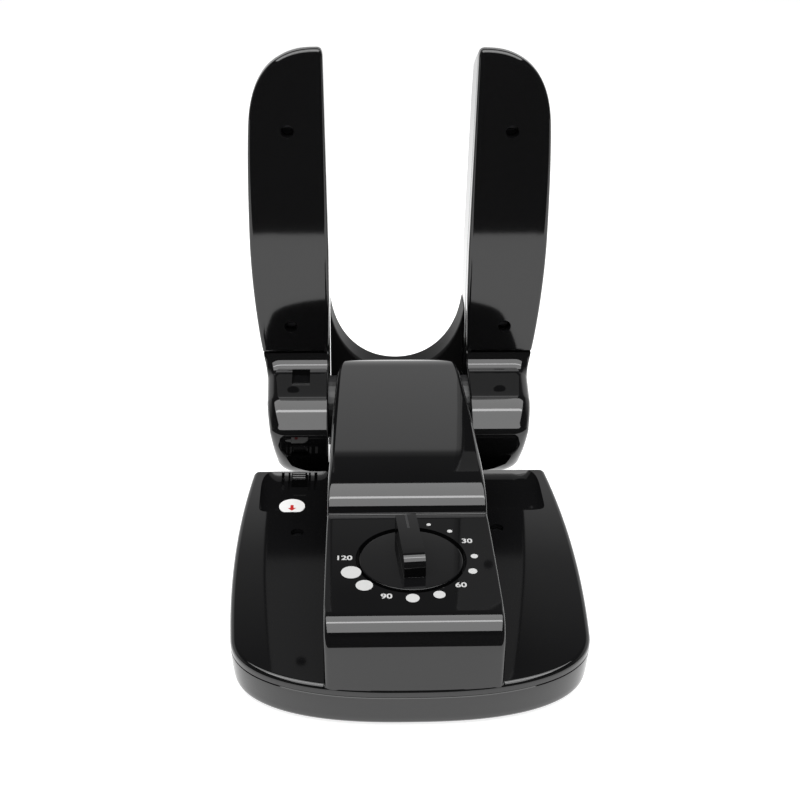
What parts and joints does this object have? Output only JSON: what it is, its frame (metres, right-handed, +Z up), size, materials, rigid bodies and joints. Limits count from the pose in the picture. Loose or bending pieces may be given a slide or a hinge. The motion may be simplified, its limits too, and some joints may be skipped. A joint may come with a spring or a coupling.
{
  "type": "boot dryer",
  "caption": "Folding electric boot dryer: low base with a timer console and twin hollow blower arms that stand up behind it and fold forward over it.",
  "frame": {"origin": "middle of the overall box on the ground, arms upright", "axes": "+X to the user's right, +Y to the rear, +Z up"},
  "size_m": [0.1844, 0.295, 0.261],
  "materials": {
    "gloss_black": "polished piano-black injection moulding",
    "matte_black": "fine matte moulding",
    "natural_plastic": "unpigmented heat-resistant moulding",
    "heater_fins": "mill finish fins",
    "plated_steel": "zinc plated",
    "dark_steel": "black oxide",
    "rubber": "soft moulded rubber",
    "white_label": "satin printed sticker"
  },
  "bodies": {
    "base": {"bottom_shell": "gloss_black", "top_shell": "gloss_black", "blower_housing": "matte_black", "timer_case": "matte_black", "heater_frame": "natural_plastic", "terminal_block": "natural_plastic", "heater_core": "heater_fins", "fan_motor": "plated_steel", "thermal_cutout": "plated_steel", "latch_spring": "plated_steel", "cord_gland": "rubber", "rubber_foot_1": "rubber", "rubber_foot_2": "rubber", "rubber_foot_3": "rubber", "rubber_foot_4": "rubber", "base_screw_1": "dark_steel", "base_screw_2": "dark_steel", "base_screw_3": "dark_steel", "base_screw_4": "dark_steel", "wing_screw_left": "dark_steel", "wing_screw_right": "dark_steel", "latch_label": "white_label"},
    "arms": {"arm_bridge": "gloss_black", "arm_front_left": "gloss_black", "arm_rear_left": "gloss_black", "arm_foot_left": "gloss_black", "outlet_grille_left": "matte_black", "hinge_sleeve_left": "matte_black", "arm_front_right": "gloss_black", "arm_rear_right": "gloss_black", "arm_foot_right": "gloss_black", "outlet_grille_right": "matte_black", "hinge_sleeve_right": "matte_black", "arm_screw_left_1": "dark_steel", "arm_screw_left_2": "dark_steel", "arm_screw_right_1": "dark_steel", "arm_screw_right_2": "dark_steel"},
    "fan": {"fan_impeller": "matte_black", "fan_shaft": "plated_steel"},
    "timer": {"timer_knob": "gloss_black", "timer_shaft": "plated_steel"},
    "latch": {"latch_button": "gloss_black"}
  },
  "joints": [
    {"name": "arms_fold", "type": "hinge", "parent": "base", "child": "arms", "pos_m": [0, 0.0965, 0.044], "axis": [1, 0, 0], "range_deg": [0, 90]},
    {"name": "timer_turn", "type": "hinge", "parent": "base", "child": "timer", "pos_m": [0.0003, -0.0878, 0.057], "axis": [0, 0, -1], "range_deg": [0, 273]},
    {"name": "latch_push", "type": "slide", "parent": "base", "child": "latch", "axis": [0, 0, -1], "range_m": [0, 0.003], "stiffness_N_per_m": 400, "springref_m": -0.002, "deforming": ["latch_spring"]},
    {"name": "fan_spin", "type": "hinge", "parent": "base", "child": "fan", "pos_m": [0, 0.0115, 0.031], "axis": [0, 0, 1], "continuous": true}
  ]
}
